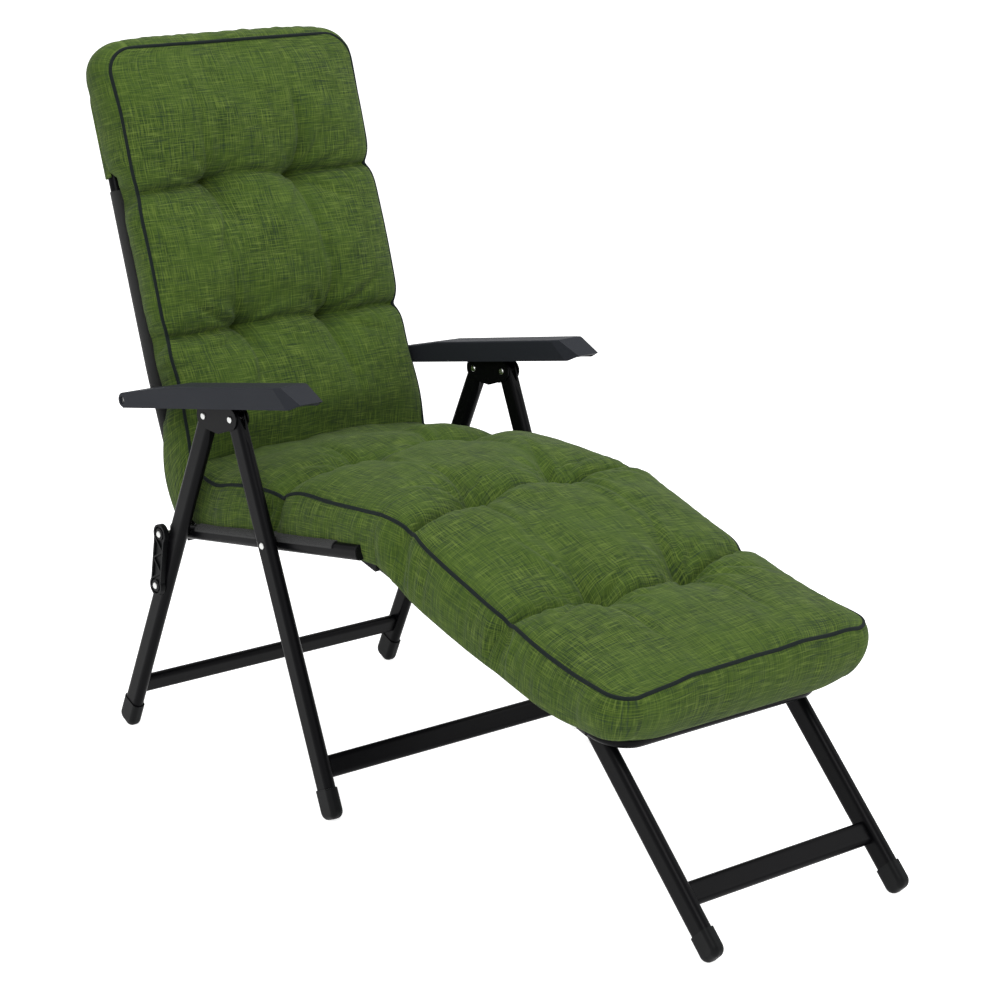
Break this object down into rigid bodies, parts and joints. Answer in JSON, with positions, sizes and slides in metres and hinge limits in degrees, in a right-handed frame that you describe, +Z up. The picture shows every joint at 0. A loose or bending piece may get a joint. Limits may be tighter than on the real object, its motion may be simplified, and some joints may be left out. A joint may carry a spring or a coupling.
{
  "type": "reclining garden armchair with footrest",
  "caption": "Folding garden lounger: oval-tube X frame, reclining back, toothed armrests, hinged footrest with its own folding legs, and a tufted cushion with a hood over the back",
  "frame": {"origin": "on the ground, under the middle of the chair's bounding box", "axes": "X across the chair with the sitter's left at +X, the footrest towards -Y, the back towards +Y, Z up"},
  "size_m": [0.62, 1.5113, 1.1598],
  "materials": {
    "powder_coated_steel": "satin black powder coat",
    "zinc_plated_steel": "bright zinc plate",
    "armrest_plastic": "fine-grained moulded plastic",
    "black_plastic": "satin moulded plastic",
    "sling_fabric": "plain woven polyester",
    "cushion_fabric": "mottled slub weave"
  },
  "bodies": {
    "rear_legs": {"rear_leg_left": "powder_coated_steel", "rear_leg_right": "powder_coated_steel", "rear_crossbar": "powder_coated_steel", "rear_foot_cap_left": "black_plastic", "rear_foot_cap_right": "black_plastic", "leg_bracket_left": "powder_coated_steel", "leg_bracket_right": "powder_coated_steel", "bracket_rivets": "zinc_plated_steel", "leg_pivot_rivets": "zinc_plated_steel", "rack_pins": "zinc_plated_steel", "link_rivets": "zinc_plated_steel"},
    "front_legs": {"front_leg_left": "powder_coated_steel", "front_leg_right": "powder_coated_steel", "front_crossbar": "powder_coated_steel", "front_foot_cap_left": "black_plastic", "front_foot_cap_right": "black_plastic", "seat_rivets": "zinc_plated_steel", "seat_washers": "black_plastic"},
    "seat": {"seat_rail_left": "powder_coated_steel", "seat_rail_right": "powder_coated_steel", "seat_front_tube": "powder_coated_steel", "seat_rear_tube": "powder_coated_steel", "seat_sling": "sling_fabric", "seat_cushion": "cushion_fabric", "seat_front_plugs": "black_plastic", "seat_rear_plugs": "black_plastic"},
    "links": {"link_left": "black_plastic", "link_right": "black_plastic", "link_top_rivets": "zinc_plated_steel"},
    "recline_pins": {"recline_pins": "zinc_plated_steel"},
    "back": {"back_tube_left": "powder_coated_steel", "back_tube_right": "powder_coated_steel", "back_top_tube": "powder_coated_steel", "back_cross_tube": "powder_coated_steel", "back_sling": "sling_fabric", "back_cushion": "cushion_fabric", "cushion_hood": "cushion_fabric", "back_tube_plugs": "black_plastic"},
    "armrest_bolts": {"armrest_bolts": "zinc_plated_steel"},
    "armrest_bushes": {"armrest_bushes": "black_plastic"},
    "armrest_left": {"armrest_left": "armrest_plastic", "armrest_rack_left": "armrest_plastic"},
    "armrest_right": {"armrest_right": "armrest_plastic", "armrest_rack_right": "armrest_plastic"},
    "footrest_bushes": {"footrest_bushes": "black_plastic"},
    "footrest": {"footrest_rail_left": "powder_coated_steel", "footrest_rail_right": "powder_coated_steel", "footrest_front_tube": "powder_coated_steel", "footrest_brace": "powder_coated_steel", "footrest_clip_left": "black_plastic", "footrest_clip_right": "black_plastic", "footrest_sling": "sling_fabric", "footrest_cushion": "cushion_fabric", "footrest_leg_rivets": "zinc_plated_steel"},
    "footrest_legs": {"footrest_leg_left": "powder_coated_steel", "footrest_leg_right": "powder_coated_steel", "footrest_crossbar": "powder_coated_steel", "footrest_foot_cap_left": "black_plastic", "footrest_foot_cap_right": "black_plastic"}
  },
  "joints": [
    {"name": "fold", "type": "hinge", "parent": "rear_legs", "child": "front_legs", "pos_m": [0, 0.26999, 0.609], "axis": [-1, 0, 0], "range_deg": [-47.23, 0], "deforming": ["seat_cushion", "back_cushion"]},
    {"name": "seat_turn", "type": "hinge", "parent": "front_legs", "child": "seat", "pos_m": [0, 0.1929, 0.41689], "axis": [-1, 0, 0], "range_deg": [0, 83.5]},
    {"name": "link_turn", "type": "hinge", "parent": "rear_legs", "child": "links", "pos_m": [0, 0.49728, 0.28326], "axis": [-1, 0, 0], "range_deg": [0, 143.15]},
    {"name": "recline_pin_turn", "type": "hinge", "parent": "seat", "child": "recline_pins", "pos_m": [0, 0.48046, 0.37615], "axis": [-1, 0, 0], "range_deg": [-77.26, 0]},
    {"name": "recline", "type": "hinge", "parent": "recline_pins", "child": "back", "pos_m": [0, 0.48046, 0.37615], "axis": [-1, 0, 0], "range_deg": [0, 38]},
    {"name": "armrest_bolt_turn", "type": "hinge", "parent": "back", "child": "armrest_bolts", "pos_m": [0, 0.56549, 0.59201], "axis": [-1, 0, 0], "range_deg": [-25.7, 0]},
    {"name": "armrest_bush_turn", "type": "hinge", "parent": "armrest_bolts", "child": "armrest_bushes", "pos_m": [0, 0.56549, 0.59201], "axis": [-1, 0, 0], "range_deg": [0, 83]},
    {"name": "armrest_lift_left", "type": "hinge", "parent": "armrest_bushes", "child": "armrest_left", "pos_m": [0, 0.56549, 0.59201], "axis": [-1, 0, 0], "range_deg": [-1.13, 8]},
    {"name": "armrest_lift_right", "type": "hinge", "parent": "armrest_bushes", "child": "armrest_right", "pos_m": [0, 0.56549, 0.59201], "axis": [-1, 0, 0], "range_deg": [-1.13, 8]},
    {"name": "footrest_bush_turn", "type": "hinge", "parent": "seat", "child": "footrest_bushes", "pos_m": [0, -0.00138, 0.4429], "axis": [-1, 0, 0], "range_deg": [-117.13, 0]},
    {"name": "footrest_tilt", "type": "hinge", "parent": "footrest_bushes", "child": "footrest", "pos_m": [0, -0.00138, 0.4429], "axis": [-1, 0, 0], "range_deg": [-12, 15.5], "deforming": ["footrest_cushion"]},
    {"name": "footrest_legs_fold", "type": "hinge", "parent": "footrest", "child": "footrest_legs", "pos_m": [0, -0.48194, 0.28607], "axis": [-1, 0, 0], "range_deg": [-143, 0]}
  ],
  "couplings": [
    {"joint": "seat_turn", "follows": "fold", "ratio": -1.7677},
    {"joint": "link_turn", "follows": "fold", "ratio": -3.0305},
    {"joint": "recline_pin_turn", "follows": "fold", "ratio": 1.6357},
    {"joint": "armrest_bush_turn", "follows": "fold", "ratio": -1.7572},
    {"joint": "footrest_bush_turn", "follows": "fold", "ratio": 2.4797},
    {"joint": "armrest_bolt_turn", "follows": "recline", "ratio": -0.67632}
  ]
}
